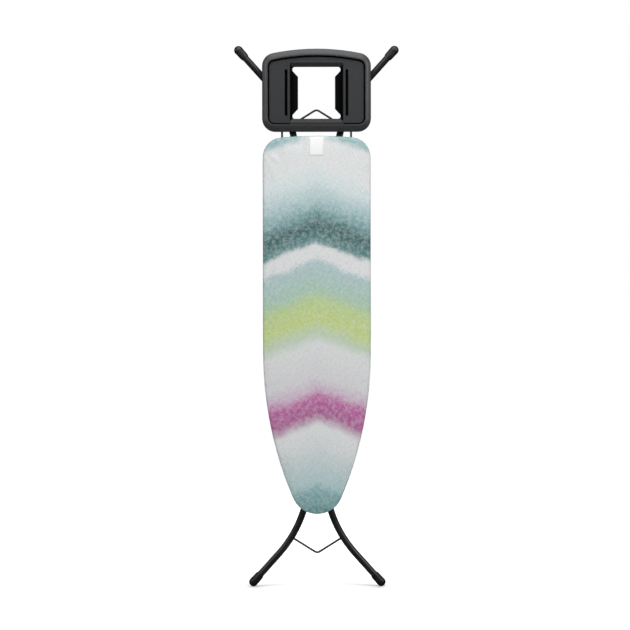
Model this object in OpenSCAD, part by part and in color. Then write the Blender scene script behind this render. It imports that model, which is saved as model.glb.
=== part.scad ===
// Ironing board, folded and standing upright.
// +X to the right, +Z up, the ironing surface faces -Y.
// The floor is z = 0 and the middle of the folded depth is y = 0.
// Depths are counted from the ironing surface towards the back.

/* [Ironing table] */
// Width of the covered table
board_w = 318; // [280:1:380]
// Length of the covered table
board_l = 1108; // [1000:1:1250]
// Distance from the hinge axle to the rear edge of the cover
hinge_inset = 128; // [120:1:150]
// Radius of the two rear corners
corner_r = 60; // [40:1:80]
// Radius of the slightly crowned rear edge
crown_r = 1200; // [900:10:1800]
// Radius of the nose
nose_r = 78; // [70:1:90]
// Length of the tapered end, from the nose to the straight sides
taper_l = 476; // [440:1:500]

/* [Cover and pad] */
// Thickness of the cotton cover
cover_t = 2; // [1:0.5:3]
// Thickness of the foam pad under the cover
pad_t = 5.4; // [4:0.2:10]
// Width of the hem behind the rim
hem_w = 22; // [15:1:26]
// Air between the soft parts and the steel
soft_gap = 0.3; // [0.2:0.1:0.6]

/* [Steel table frame] */
// Thickness of the mesh panel and the rim
sheet_t = 1.5; // [1:0.5:2]
// Depth of the rim
rim_d = 15.7; // [13:0.1:18]
// Width of the rim's folded lip
lip_w = 8; // [5:1:12]
// Width of the plain margin round the mesh
mesh_margin = 14; // [10:1:20]
// Width of a mesh opening
mesh_w = 22; // [16:1:30]
// Height of a mesh opening
mesh_h = 44; // [30:1:60]
// Width of a mesh strand
mesh_strand = 5; // [3:0.5:8]
// Width of a cross bar
bar_w = 30; // [26:1:36]
// Thickness of a cross bar
bar_t = 2.5; // [2:0.5:4]

/* [Legs] */
// Outside diameter of the leg tubes
tube_d = 20; // [18:0.5:22]
// Wall of the leg tubes
tube_wall = 1.5; // [1:0.1:2]
// Length of a leg from the table's axle to the scissor pivot
upper_leg = 400; // [380:1:420]
// Length of a leg from the scissor pivot to the middle of the foot
lower_leg = 781; // [760:1:820]
// Distance between the inner pair of tubes
inner_gauge = 48; // [46:1:52]
// Distance between the outer pair of tubes
outer_gauge = 121.6; // [118:0.2:126]
// Distance between the inner feet
inner_spread = 375; // [340:1:420]
// Distance between the outer feet
outer_spread = 458; // [420:1:500]
// Radius of the bend above each foot
bend_r = 345; // [280:1:380]
// Angle of the splayed foot from the leg
splay = 42; // [36:1:46]
// Diameter of the brace wires
brace_d = 6; // [4:0.5:8]
// Slope of the brace wires
brace_slope = 32; // [25:1:38]
// Radius of the bend at the tip of a brace
brace_bend = 14; // [10:1:20]
// Height of the inner brace's ends over the feet
inner_brace_h = 132; // [110:1:150]
// Height of the outer brace's ends over the feet
outer_brace_h = 221; // [200:1:240]

/* [Feet] */
// Diameter of the foot caps
cap_d = 26; // [25:0.5:30]
// Length of the foot caps
cap_l = 43; // [38:1:60]
// Width of the cap's collar
collar_w = 5; // [3:0.5:8]
// Number of flutes round a cap
flutes = 16; // [10:1:20]
// Radius of a flute
flute_r = 1.2; // [0.8:0.1:1.5]

/* [Scissor and height adjustment] */
// Diameter of the two axles
axle_d = 10; // [8:0.5:11]
// Depth of both axles behind the ironing surface
axle_depth = 32; // [31:0.5:36]
// Depth of the leg tubes behind the axles
leg_offset = 17; // [16.5:0.5:20]
// Diameter of the scissor pivot bolts
bolt_d = 8; // [6:0.5:9]
// Running clearance of a pin in its bore
run_gap = 0.1; // [0.05:0.05:0.1]
// Largest angle between a leg and the table
fold_max = 50; // [45:1:52]
// Number of working heights
height_steps = 8; // [5:1:9]
// Distance from one height notch to the next
notch_pitch = 22; // [18:1:24]
// Travel of the rack between the engaged and the riding position
catch_travel = 8; // [6:0.5:8]
// Distance from one finger hollow to the next
finger_pitch = 21; // [18:1:24]
// Outside diameter of the slide bushes
bush_d = 14; // [12.5:0.5:15]
// Room for a lug and a bush between an outer tube and its rail
rail_play = 11.2; // [10.5:0.1:14]
// Thickness of the slide rails
rail_t = 2; // [1.5:0.5:2.5]
// Diameter of the catch rod
rod_d = 8; // [6:0.5:9]
// Thickness of the rack and the lever
rack_t = 2.5; // [2:0.1:3]
// Length of the lever grip
grip_l = 84; // [70:1:100]

/* [Iron rest] */
// Gap between the table's cover and the iron rest
rest_gap = 11; // [8:1:30]
// Width of the iron rest
rest_w = 318; // [300:1:340]
// Height of the iron rest
rest_h = 242; // [230:1:260]
// Depth of the iron rest's front edge behind the ironing surface
rest_depth = 3; // [1:0.5:6]
// Thickness of the iron rest
rest_t = 22.7; // [20:0.1:24]
// Radius of the iron rest's corners
rest_corner = 38; // [30:1:45]
// Radius of the iron rest's crowned end
rest_crown = 640; // [500:10:900]
// Width of the raised rim at the sides
band_side = 16.5; // [14:0.5:20]
// Width of the raised rim at the ends
band_end = 20; // [18:0.5:24]
// Wall of the moulded plastic
mould_wall = 2.5; // [2:0.1:3]
// Depth of the panel below the rim
recess = 8; // [6:0.5:9]
// Width of the groove round the panel
groove_w = 4.7; // [3:0.1:6]
// Width of the steam window
window_w = 108; // [100:1:112]
// Height of the steam window
window_h = 152; // [140:1:156]
// Width over the window's corner pockets
pocket_w = 141; // [136:1:144]
// Width of the well round the window
well_w = 158; // [156:1:164]
// Height of the well round the window
well_h = 175; // [170:1:178]
// Height of the window's middle over the iron rest's lower edge
window_rise = 114; // [110:1:118]
// Width of the well's raised lip
well_lip = 4; // [3:0.5:5]
// Width of the long slots beside the well
slot_w = 8; // [5:0.5:9]
// Length of the long slots
slot_l = 136; // [110:1:150]
// Length of the ribs in the well's floor
rib_l = 88; // [60:1:100]
// Diameter of the support rods
support_d = 6; // [5:0.5:7]
// Distance of each support rod from the middle
support_x = 101; // [96:1:110]

/* [Hidden] */
$fn = 48;

// Heights
cap_r = cap_d / 2;
pivot_z = cap_r + lower_leg;
hinge_z = pivot_z + upper_leg;
slide_z = pivot_z - upper_leg;
rear_z = hinge_z + hinge_inset;
nose_z = rear_z - board_l;
top_notch_z = hinge_z - 2 * (upper_leg * cos(fold_max) - leg_offset * sin(fold_max));

// Depths from the ironing surface
leg_depth = axle_depth + leg_offset;
fold_depth = leg_depth + cap_r;
front_y = -fold_depth / 2;
pad_depth = cover_t + soft_gap;
steel_depth = pad_depth + pad_t + soft_gap;
rim_back = steel_depth + rim_d;
bar_depth = steel_depth + sheet_t;
bar_back = bar_depth + bar_t;
hem_depth = rim_back + soft_gap;

// Widths from the edge of the cover
rim_inset = cover_t + soft_gap;
panel_inset = rim_inset + sheet_t;

tube_r = tube_d / 2;
axle_r = axle_d / 2;
bolt_r = bolt_d / 2;
brace_r = brace_d / 2;
rod_r = rod_d / 2;
support_r = support_d / 2;
bush_r = bush_d / 2;
seat_gap = 0.2;
eps = 0.01;
rail_x = outer_gauge / 2 + tube_r + rail_play;
rod_x = rail_x - rail_play + seat_gap + 1;

black_steel = "#26272a";
black_plastic = "#2c2d2f";
bare_steel = "#8f9296";
white_nylon = "#d9d8d2";
grey_cotton = "#c9cecf";
pale_foam = "#e8e4d8";

// ---------------------------------------------------------------- outlines

function arc(centre, r, from, to, steps) = [
    for (i = [0:steps])
        let (a = from + (to - from) * i / steps)
        [centre[0] + r * cos(a), centre[1] + r * sin(a)]
];

function mirrored(points) = [for (i = [len(points) - 1:-1:0]) [-points[i][0], points[i][1]]];

// Table outline: a crowned rear edge, round corners, long side arcs and a round nose,
// each tangent to the next. The same centres serve every inset.
half_w = board_w / 2;
crown_centre = [0, rear_z - crown_r];
corner_centre = [
    half_w - corner_r,
    crown_centre[1] + sqrt(pow(crown_r - corner_r, 2) - pow(half_w - corner_r, 2))
];
side_r = (half_w * half_w + taper_l * taper_l - 2 * nose_r * taper_l) / (2 * (half_w - nose_r));
side_centre = [half_w - side_r, nose_z + taper_l];
nose_centre = [0, nose_z + nose_r];
corner_angle = atan2(corner_centre[1] - crown_centre[1], corner_centre[0]);
side_angle = atan2(nose_centre[1] - side_centre[1], -side_centre[0]);

function half_outline(inset) = concat(
    arc(nose_centre, nose_r - inset, -90, side_angle, 10),
    arc(side_centre, side_r - inset, side_angle, 0, 12),
    arc(corner_centre, corner_r - inset, 0, corner_angle, 8),
    arc(crown_centre, crown_r - inset, corner_angle, 90, 3)
);

module table_outline(inset = 0) {
    half = half_outline(inset);
    polygon(concat(half, mirrored(half)));
}

// Half width of the table at a height, inside an inset, on its straight and tapered sides
function table_half(z, inset) =
    z > side_centre[1]
        ? half_w - inset
        : side_centre[0] + sqrt(pow(side_r - inset, 2) - pow(z - side_centre[1], 2));

// How much narrower the table is at a height beside its round rear corners
function corner_loss(z, inset) =
    let (r = corner_r - inset, rise = min(r, max(0, z - corner_centre[1])))
    r - sqrt(r * r - rise * rise);

// Iron rest outline: straight sides, round corners and one crowned end
rest_z = rear_z + rest_gap;
rest_top = rest_z + rest_h;

module rest_outline(side, end) {
    w = rest_w / 2 - side;
    r = rest_corner - (side + end) / 2;
    crown = rest_crown - end;
    centre_z = rest_top - rest_crown;
    top_corner_z = centre_z + sqrt(pow(crown - r, 2) - pow(w - r, 2));
    top_angle = atan2(top_corner_z - centre_z, w - r);
    half = concat(
        arc([w - r, rest_z + end + r], r, -90, 0, 8),
        arc([w - r, top_corner_z], r, 0, top_angle, 8),
        arc([0, centre_z], crown, top_angle, 90, 5)
    );
    polygon(concat(half, mirrored(half)));
}

// ---------------------------------------------------------------- helpers

// A shape in the XZ plane, thick from one depth to another
module slab(from, to) {
    translate([0, front_y + to, 0])
        rotate([90, 0, 0])
            linear_extrude(to - from) children();
}

// A block between two X values, two depths and two heights
module block(x, depth, z) {
    translate([x[0], front_y + depth[0], z[0]])
        cube([x[1] - x[0], depth[1] - depth[0], z[1] - z[0]]);
}

// A round bar along X
module cross_pin(r, x, depth, z) {
    translate([x[0], front_y + depth, z])
        rotate([0, 90, 0])
            cylinder(r = r, h = x[1] - x[0]);
}

// A round bar along Z
module upright(r, x, depth, z) {
    translate([x, front_y + depth, z[0]])
        cylinder(r = r, h = z[1] - z[0]);
}

module both_sides() {
    children();
    mirror([1, 0, 0]) children();
}

// ---------------------------------------------------------------- soft parts

module cover_top() {
    color(grey_cotton)
        slab(0, cover_t) table_outline();
}

module cover_skirt() {
    color(grey_cotton)
        union() {
            slab(cover_t, hem_depth + cover_t) difference() {
                table_outline();
                table_outline(cover_t);
            }
            slab(hem_depth, hem_depth + cover_t) difference() {
                table_outline(cover_t - eps);
                table_outline(hem_w);
            }
        }
}

module pad() {
    color(pale_foam)
        slab(pad_depth, pad_depth + pad_t) table_outline(rim_inset);
}

// ---------------------------------------------------------------- steel table frame

mesh_pitch_x = mesh_w + mesh_strand;
mesh_pitch_z = mesh_h + mesh_strand;

module diamond() {
    polygon([[mesh_w / 2, 0], [0, mesh_h / 2], [-mesh_w / 2, 0], [0, -mesh_h / 2]]);
}

// Staggered rows of openings, wherever a whole one fits inside the margin
module mesh_openings() {
    inset = panel_inset + mesh_margin;
    bottom = nose_z + nose_r;
    top = rear_z - inset - mesh_h / 2 - (crown_r - sqrt(crown_r * crown_r - half_w * half_w));
    rows = floor((top - bottom) / (mesh_pitch_z / 2));
    for (row = [0:rows]) {
        z = bottom + row * mesh_pitch_z / 2;
        shift = (row % 2) * mesh_pitch_x / 2;
        room = table_half(z - mesh_h / 4, inset) - mesh_w / 2 - corner_loss(z, 0);
        count = floor((room - shift) / mesh_pitch_x);
        for (i = [0:count]) {
            x = shift + i * mesh_pitch_x;
            translate([x, z]) diamond();
            if (x > 0) translate([-x, z]) diamond();
        }
    }
}

module mesh_panel() {
    color(black_steel)
        slab(steel_depth, steel_depth + sheet_t) difference() {
            table_outline(panel_inset);
            mesh_openings();
        }
}

module rim() {
    color(black_steel)
        union() {
            slab(steel_depth, rim_back) difference() {
                table_outline(rim_inset);
                table_outline(panel_inset);
            }
            slab(rim_back - sheet_t, rim_back) difference() {
                table_outline(panel_inset - eps);
                table_outline(panel_inset + lip_w);
            }
        }
}

rail_ends = [slide_z - bush_r - 9, top_notch_z + bush_r + 9];
nose_bar_z = rail_ends[0] + bar_w / 2 - 4;
middle_bar_z = rail_ends[1] - bar_w / 2 + 10;
socket_h = 26;
rear_bar_z = rear_z - hem_w - socket_h / 2 - 9;

// A flat bar across the back of the mesh, from rim to rim
module cross_bar(z) {
    reach = table_half(z - bar_w / 2, panel_inset) - corner_loss(z + bar_w / 2, panel_inset) - seat_gap;
    color(black_steel)
        block([-reach, reach], [bar_depth, bar_back], [z - bar_w / 2, z + bar_w / 2]);
}

module nose_bar() cross_bar(nose_bar_z);
module middle_bar() cross_bar(middle_bar_z);
module hinge_bar() cross_bar(hinge_z);
module rear_bar() cross_bar(rear_bar_z);

// ---------------------------------------------------------------- slide rails

rail_flange = 8;
rail_back = axle_depth + bush_r + 7;
slot_r = bush_r + seat_gap;

module slide_rail() {
    color(black_steel)
        difference() {
            union() {
                block([rail_x, rail_x + rail_t], [bar_back, rail_back], rail_ends);
                block([rail_x, rail_x + rail_flange + rail_t], [bar_back, bar_back + rail_t], rail_ends);
            }
            span = [rail_x - 1, rail_x + rail_t + 1];
            cross_pin(slot_r, span, axle_depth, slide_z);
            cross_pin(slot_r, span, axle_depth, top_notch_z);
            block(span, [axle_depth - slot_r, axle_depth + slot_r], [slide_z, top_notch_z]);
        }
}

module slide_rail_right() slide_rail();
module slide_rail_left() mirror([1, 0, 0]) slide_rail();

// ---------------------------------------------------------------- hinge bracket

ear_t = 3;
ear_r = axle_r + 4;
ear_x = inner_gauge / 2 + tube_r + 4;
bracket_half = ear_x + ear_t + 8;

module hinge_bracket() {
    color(black_steel)
        difference() {
            union() {
                block([-bracket_half, bracket_half], [bar_back, bar_back + ear_t],
                      [hinge_z - bar_w / 2 + 2, hinge_z + bar_w / 2 - 2]);
                both_sides() {
                    cross_pin(ear_r, [ear_x, ear_x + ear_t], axle_depth, hinge_z);
                    block([ear_x, ear_x + ear_t], [bar_back, axle_depth], [hinge_z - ear_r, hinge_z + ear_r]);
                }
            }
            cross_pin(axle_r + run_gap, [-bracket_half, bracket_half], axle_depth, hinge_z);
        }
}

// ---------------------------------------------------------------- leg tubes and braces

// Everything below is drawn with the scissor pivot at z = 0 and the foot downwards.
foot_z = -lower_leg;

function bend_x(gauge) = gauge / 2 + bend_r * (1 - cos(splay));
function bend_end_z(gauge, spread) = foot_z + (spread / 2 - bend_x(gauge)) / tan(splay);
function bend_start_z(gauge, spread) = bend_end_z(gauge, spread) + bend_r * sin(splay);

// Middle of the tube at a height inside the bend
function tube_x(gauge, spread, z) =
    let (lean = asin((bend_start_z(gauge, spread) - z) / bend_r))
    gauge / 2 + bend_r * (1 - cos(lean));

lug_r = axle_r + 4;

// A round bar along the leg: straight, bent outwards, then straight to the foot.
// Bending draws the tube slightly thinner, so the straight ends slip over the bend.
bend_draw = 0.05;
bend_lap = 2;
brace_lap = 0.5;

module leg_run(r, gauge, spread, top) {
    start_z = bend_start_z(gauge, spread);
    end_z = bend_end_z(gauge, spread);
    end_x = bend_x(gauge);
    translate([gauge / 2, 0, start_z - bend_lap]) cylinder(r = r, h = top - start_z + bend_lap);
    translate([gauge / 2 + bend_r, 0, start_z])
        rotate([90, 0, 0])
            rotate_extrude(angle = splay, start = 180, $fn = 160)
                translate([bend_r, 0]) circle(r = r - bend_draw, $fn = 48);
    translate([end_x, 0, end_z])
        rotate([0, 180 - splay, 0])
            translate([0, 0, -bend_lap])
                cylinder(r = r, h = (spread / 2 - end_x) / sin(splay) + bend_lap);
}

module leg_tube(gauge, spread, bore_r) {
    translate([0, front_y + leg_depth, 0])
        difference() {
            leg_run(tube_r, gauge, spread, upper_leg + lug_r);
            leg_run(tube_r - tube_wall, gauge, spread, upper_leg + lug_r);
            translate([gauge / 2 - tube_d, 0, 0])
                rotate([0, 90, 0])
                    cylinder(r = bore_r, h = 2 * tube_d);
        }
}

// A wire bent to a blunt V between the two tubes, cut to seat on them
module leg_brace(gauge, spread, height) {
    ends_z = foot_z + height;
    ends_x = tube_x(gauge, spread, ends_z);
    tip_z = ends_z - ends_x * tan(brace_slope);
    turn_z = tip_z + brace_bend / cos(brace_slope);
    turn_x = brace_bend * sin(brace_slope);
    run = (ends_x - turn_x) / cos(brace_slope);
    translate([0, front_y + leg_depth, 0])
        difference() {
            union() {
                translate([0, 0, turn_z])
                    rotate([90, 0, 0])
                        rotate_extrude(angle = 2 * brace_slope, start = 270 - brace_slope, $fn = 96)
                            translate([brace_bend, 0]) circle(r = brace_r - bend_draw, $fn = 24);
                both_sides()
                    translate([turn_x, 0, turn_z - brace_bend * cos(brace_slope)])
                        rotate([0, 90 - brace_slope, 0])
                            translate([0, 0, -brace_lap])
                                cylinder(r = brace_r, h = run + brace_lap, $fn = 24);
            }
            both_sides() leg_run(tube_r, gauge, spread, 0);
        }
}

// ---------------------------------------------------------------- foot caps

cap_body = cap_l - cap_r;
collar_r = cap_r - 0.6;
collar_step = 0.5;
cap_taper = 3;

// A closed boot: the dome's centre is the middle of the foot, the collar is at the open end
module foot_cap(spread) {
    bore_r = tube_r + run_gap;
    profile = concat(
        [
            [bore_r, 0], [bore_r, -cap_body], [collar_r - collar_step, -cap_body],
            [collar_r - collar_step, collar_w - cap_body], [collar_r, collar_w - cap_body],
            [cap_r, -cap_taper]
        ],
        arc([0, 0], cap_r, 0, 90, 10),
        [[0, 0]]
    );
    translate([spread / 2, front_y + leg_depth, foot_z])
        rotate([0, 180 - splay, 0])
            difference() {
                rotate_extrude() polygon(profile);
                for (i = [0:flutes - 1])
                    rotate([0, 0, (i + 0.5) * 360 / flutes])
                        translate([cap_r + flute_r / 3, 0, collar_w - cap_body + 2])
                            cylinder(r = flute_r, h = cap_body - collar_w - 2 - cap_taper, $fn = 16);
            }
}

// ---------------------------------------------------------------- inner legs

module at_inner() translate([0, 0, pivot_z]) children();
module at_outer() translate([0, 0, pivot_z]) mirror([0, 0, 1]) children();
module to_left() mirror([1, 0, 0]) children();

module inner_tube_right() color(black_steel) at_inner() leg_tube(inner_gauge, inner_spread, bolt_r);
module inner_tube_left() color(black_steel) at_inner() to_left() leg_tube(inner_gauge, inner_spread, bolt_r);
module inner_brace() color(black_steel) at_inner() leg_brace(inner_gauge, inner_spread, inner_brace_h);
module inner_cap_right() color(black_plastic) at_inner() foot_cap(inner_spread);
module inner_cap_left() color(black_plastic) at_inner() to_left() foot_cap(inner_spread);

lug_t = 5;

// A welded lug between the end of a tube and the axle in front of it
module lug(gauge, z) {
    x = [gauge / 2 - lug_t / 2, gauge / 2 + lug_t / 2];
    difference() {
        union() {
            cross_pin(lug_r, x, axle_depth, z);
            block(x, [axle_depth, leg_depth], [z - lug_r, z + lug_r]);
        }
        cross_pin(axle_r, [x[0] - 1, x[1] + 1], axle_depth, z);
        upright(tube_r, gauge / 2, leg_depth, [z - lug_r - 1, z + lug_r + 1]);
        block([x[0] - 1, x[1] + 1], [leg_depth - tube_r / 2, leg_depth + 1], [z - lug_r - 1, z + lug_r + 1]);
    }
}

module hinge_lugs() color(black_steel) both_sides() lug(inner_gauge, hinge_z);

axle_head_t = 2.5;
axle_head_r = axle_r + 3;
hinge_end = ear_x + ear_t + seat_gap;

module hinge_axle() {
    color(bare_steel)
        union() {
            cross_pin(axle_r, [-hinge_end, hinge_end], axle_depth, hinge_z);
            both_sides()
                cross_pin(axle_head_r, [hinge_end, hinge_end + axle_head_t], axle_depth, hinge_z);
        }
}

bolt_head_r = bolt_r + 3;
bolt_head_t = 4;
bolt_inner = inner_gauge / 2 - tube_r;
bolt_outer = outer_gauge / 2 + tube_r + seat_gap;
spacer_ends = [inner_gauge / 2 + tube_r, outer_gauge / 2 - tube_r - seat_gap];

module pivot_bolts() {
    color(bare_steel)
        both_sides() {
            cross_pin(bolt_r, [bolt_inner, bolt_outer], leg_depth, pivot_z);
            cross_pin(bolt_head_r, [bolt_inner - bolt_head_t, bolt_inner], leg_depth, pivot_z);
            cross_pin(bolt_head_r, [bolt_outer, bolt_outer + bolt_head_t], leg_depth, pivot_z, $fn = 6);
        }
}

module pivot_spacers() {
    color(white_nylon)
        both_sides()
            difference() {
                cross_pin(bolt_r + 4, spacer_ends, leg_depth, pivot_z);
                cross_pin(bolt_r, [spacer_ends[0] - 1, spacer_ends[1] + 1], leg_depth, pivot_z);
            }
}

// ---------------------------------------------------------------- outer legs

module outer_tube_right() color(black_steel) at_outer() leg_tube(outer_gauge, outer_spread, bolt_r + run_gap);
module outer_tube_left()
    color(black_steel) at_outer() to_left() leg_tube(outer_gauge, outer_spread, bolt_r + run_gap);
module outer_brace() color(black_steel) at_outer() leg_brace(outer_gauge, outer_spread, outer_brace_h);
module outer_cap_right() color(black_plastic) at_outer() foot_cap(outer_spread);
module outer_cap_left() color(black_plastic) at_outer() to_left() foot_cap(outer_spread);

module slide_lugs() color(black_steel) both_sides() lug(outer_gauge, slide_z);

bush_flange_t = 3;
bush_flange_r = bush_r + 4;
bush_inner = rail_x - seat_gap - bush_flange_t;
bush_outer = rail_x + rail_t + seat_gap;
cap_t = 3;
slide_end = bush_outer + cap_t;

module slide_axle() {
    color(bare_steel)
        cross_pin(axle_r, [-slide_end, slide_end], axle_depth, slide_z);
}

module slide_bushes() {
    color(white_nylon)
        both_sides()
            difference() {
                union() {
                    cross_pin(bush_r, [bush_inner, bush_outer], axle_depth, slide_z);
                    cross_pin(bush_flange_r, [bush_inner, bush_inner + bush_flange_t], axle_depth, slide_z);
                }
                cross_pin(axle_r, [bush_inner - 1, bush_outer + 1], axle_depth, slide_z);
            }
}

module bush_caps() {
    color(black_plastic)
        both_sides()
            difference() {
                cross_pin(bush_flange_r, [bush_outer, slide_end], axle_depth, slide_z);
                cross_pin(axle_r, [bush_outer - 1, slide_end + 1], axle_depth, slide_z);
            }
}

// ---------------------------------------------------------------- catch and release lever

// The rack is drawn riding just clear of the slide axle. It swings about the rod:
// towards the legs it drops a notch over the axle, towards the table it is released.
ride_gap = 0.6;
notch_r = axle_r + 0.4;
web_depth = bar_back + 3.5;
rod_depth = web_depth + rack_t / 2;
web_w = 14;
tip_depth = axle_depth - axle_r - ride_gap;
notch_depth = axle_depth - catch_travel;
arm_w = 8;
low_arm_z = nose_bar_z - bar_w / 2 - arm_w - 4;
high_arm_z = middle_bar_z + bar_w / 2 + 6;
lever_z = high_arm_z + arm_w + 2;
sleeve_r = rod_r + 2.5;
rod_ends = [low_arm_z - 8, lever_z + arm_w + 8];

// An arm from a sleeve on the rod to an X value
module rod_arm(z, to_x) {
    difference() {
        union() {
            upright(sleeve_r, -rod_x, rod_depth, [z, z + arm_w]);
            block([-rod_x, to_x], [web_depth, web_depth + rack_t], [z, z + arm_w]);
        }
        upright(rod_r, -rod_x, rod_depth, [z - 1, z + arm_w + 1]);
    }
}

module catch_rack() {
    span = [low_arm_z, high_arm_z + arm_w];
    color(bare_steel)
        difference() {
            union() {
                rod_arm(low_arm_z, rack_t / 2);
                rod_arm(high_arm_z, rack_t / 2);
                block([rack_t / 2 - web_w, rack_t / 2], [web_depth, web_depth + rack_t], span);
                block([-rack_t / 2, rack_t / 2], [web_depth, tip_depth], span);
            }
            pin = [-rack_t, rack_t];
            cross_pin(notch_r, pin, notch_depth, slide_z);
            block(pin, [notch_depth, tip_depth + 1], [slide_z - notch_r, slide_z + notch_r]);
            for (step = [0:height_steps - 1]) {
                z = top_notch_z - step * notch_pitch;
                cross_pin(notch_r, pin, notch_depth, z);
                block(pin, [notch_depth, tip_depth + 1], [z - notch_r, z + notch_r]);
            }
        }
}

module catch_rod() color(bare_steel) upright(rod_r, -rod_x, rod_depth, rod_ends);

grip_w = 30;
grip_t = 12;
grip_r = 9;
grip_span = [lever_z, lever_z + grip_l];
grip_x = table_half(lever_z, hem_w) - grip_w / 2 - 3;

module lever_arm() {
    color(black_steel)
        union() {
            rod_arm(lever_z, grip_x - grip_w / 2 + 2);
            block([grip_x - grip_w / 2, grip_x + grip_w / 2], [web_depth, web_depth + rack_t],
                  [grip_span[0], grip_span[1] - grip_r]);
        }
}

// A moulded grip on the lever's plate, with three finger hollows along its edge
module lever_grip() {
    from = grip_x - grip_w / 2;
    color(black_plastic)
        slab(web_depth + rack_t, web_depth + rack_t + grip_t)
            difference() {
                union() {
                    translate([from, grip_span[0] + grip_r]) square([grip_w, grip_l - 2 * grip_r]);
                    translate([from + grip_r, grip_span[0]]) square([grip_w - 2 * grip_r, grip_l]);
                    for (x = [from + grip_r, from + grip_w - grip_r])
                        for (z = [grip_span[0] + grip_r, grip_span[1] - grip_r])
                            translate([x, z]) circle(r = grip_r);
                }
                for (i = [-1:1])
                    translate([from - 8, (grip_span[0] + grip_span[1]) / 2 + i * finger_pitch])
                        circle(r = 11);
            }
}

clip_w = 12.5;
clip_h = 16;

module rod_clips() {
    color(black_plastic)
        for (z = [nose_bar_z, middle_bar_z])
            difference() {
                block([-rod_x - clip_w / 2, -rod_x + clip_w / 2], [bar_back, rod_depth + rod_r + 3],
                      [z - clip_h / 2, z + clip_h / 2]);
                upright(rod_r + run_gap, -rod_x, rod_depth, [z - clip_h, z + clip_h]);
            }
}

spring_wire = 1;
spring_coils = 7;
spring_pitch = 2.4;

module catch_spring() {
    start = middle_bar_z - bar_w / 2 - spring_wire - seat_gap;
    color(bare_steel)
        for (i = [0:spring_coils - 1])
            translate([-rod_x, front_y + rod_depth, start - i * spring_pitch])
                rotate_extrude()
                    translate([rod_r + seat_gap + spring_wire, 0]) circle(r = spring_wire, $fn = 16);
}

// ---------------------------------------------------------------- rivets

rivet_r = 3.5;
rivet_t = 1.6;

module rivet(x, depth, z) {
    translate([x, front_y + depth, z])
        rotate([-90, 0, 0])
            cylinder(r1 = rivet_r, r2 = rivet_r * 0.6, h = rivet_t);
}

module board_rivets() {
    rail_rivet_x = rail_x + rail_t + rail_flange / 2;
    bracket_rivet_x = bracket_half - 4;
    color(bare_steel)
        both_sides() {
            for (z = [nose_bar_z + 2, middle_bar_z - 2])
                rivet(rail_rivet_x, bar_back + rail_t, z);
            for (z = [hinge_z - 7, hinge_z + 7])
                rivet(bracket_rivet_x, bar_back + ear_t, z);
            for (z = [nose_bar_z, middle_bar_z])
                rivet(rod_x / 2 + clip_w / 2, bar_back, z);
            for (z = [hinge_z, rear_bar_z])
                rivet(table_half(z - bar_w / 2, hem_w) - rivet_r - 3, bar_back, z);
        }
}

// ---------------------------------------------------------------- iron rest

rest_back = rest_depth + rest_t;
panel_depth = rest_depth + recess;
window_z = rest_z + window_rise;
boss_w = 20;
low_clip_z = rest_z + band_end / 2;
high_clip_z = rest_top - band_end / 2
    - (rest_crown - sqrt(pow(rest_crown, 2) - pow(support_x, 2)));
rest_clip_h = 12;

// The moulded frame: rounded at the front, hollow behind, with a boss under each clip
module rest_frame() {
    color(black_plastic)
        difference() {
            hull() {
                slab(rest_depth + 9, rest_back) rest_outline(0, 0);
                slab(rest_depth + 4, rest_back) rest_outline(1.2, 1.2);
                slab(rest_depth + 1.3, rest_back) rest_outline(3.6, 3.6);
                slab(rest_depth, rest_back) rest_outline(7, 7);
            }
            slab(rest_depth - 1, rest_back + 1) rest_outline(band_side, band_end);
            difference() {
                slab(rest_depth + 5, rest_back + 1) difference() {
                    rest_outline(mould_wall, mould_wall);
                    rest_outline(band_side - mould_wall, band_end - mould_wall);
                }
                both_sides()
                    for (z = [low_clip_z, high_clip_z])
                        block([support_x - boss_w / 2, support_x + boss_w / 2], [rest_depth, rest_back],
                              [z - band_end, z + band_end]);
            }
        }
}

module rounded_box(w, h, r) {
    square([w - 2 * r, h], center = true);
    square([w, h - 2 * r], center = true);
    for (x = [-1, 1])
        for (z = [-1, 1])
            translate([x * (w / 2 - r), z * (h / 2 - r)]) circle(r = r);
}

pocket_r = 8;

// The steam window: a rectangle that widens into a round pocket at each corner
module window_outline() {
    square([window_w, window_h], center = true);
    for (x = [-1, 1])
        for (z = [-1, 1]) {
            px = pocket_w / 2 - pocket_r;
            pz = window_h / 2 - pocket_r;
            translate([x * px, z * pz]) circle(r = pocket_r);
            polygon([
                [x * px, z * (pz + pocket_r)], [x * window_w / 4, z * (pz + pocket_r)],
                [x * window_w / 4, z * (pz - 2.6 * pocket_r)], [x * window_w / 2, z * (pz - 2.6 * pocket_r)],
                [x * (px + pocket_r * cos(45)), z * (pz - pocket_r * sin(45))]
            ]);
        }
}

panel_t = mould_wall;
panel_back = panel_depth + 6.5;
well_top = panel_depth - 1.5;
floor_t = 2.5;
rib_w = 1.8;
rib_h = 2;

// One side of the well's floor, from the well's wall to the edge of the window, with its stiffening rib
module wing() {
    outer = well_w / 2;
    inner = window_w / 2;
    rib_x = (outer + inner) / 2;
    block([inner - well_w / 4, outer + eps], [rest_back - floor_t, rest_back],
          [window_z - well_h / 2, window_z + well_h / 2]);
    block([rib_x - rib_w / 2, rib_x + rib_w / 2], [rest_back - floor_t - rib_h, rest_back],
          [window_z - rib_l / 2, window_z + rib_l / 2]);
}

// One long slot beside the well
module side_slot(wall) {
    translate([well_w / 2 + well_lip + 2 + slot_w / 2, window_z])
        rounded_box(slot_w + 2 * wall, slot_l + 2 * wall, slot_w / 2 + wall - eps);
}

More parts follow.
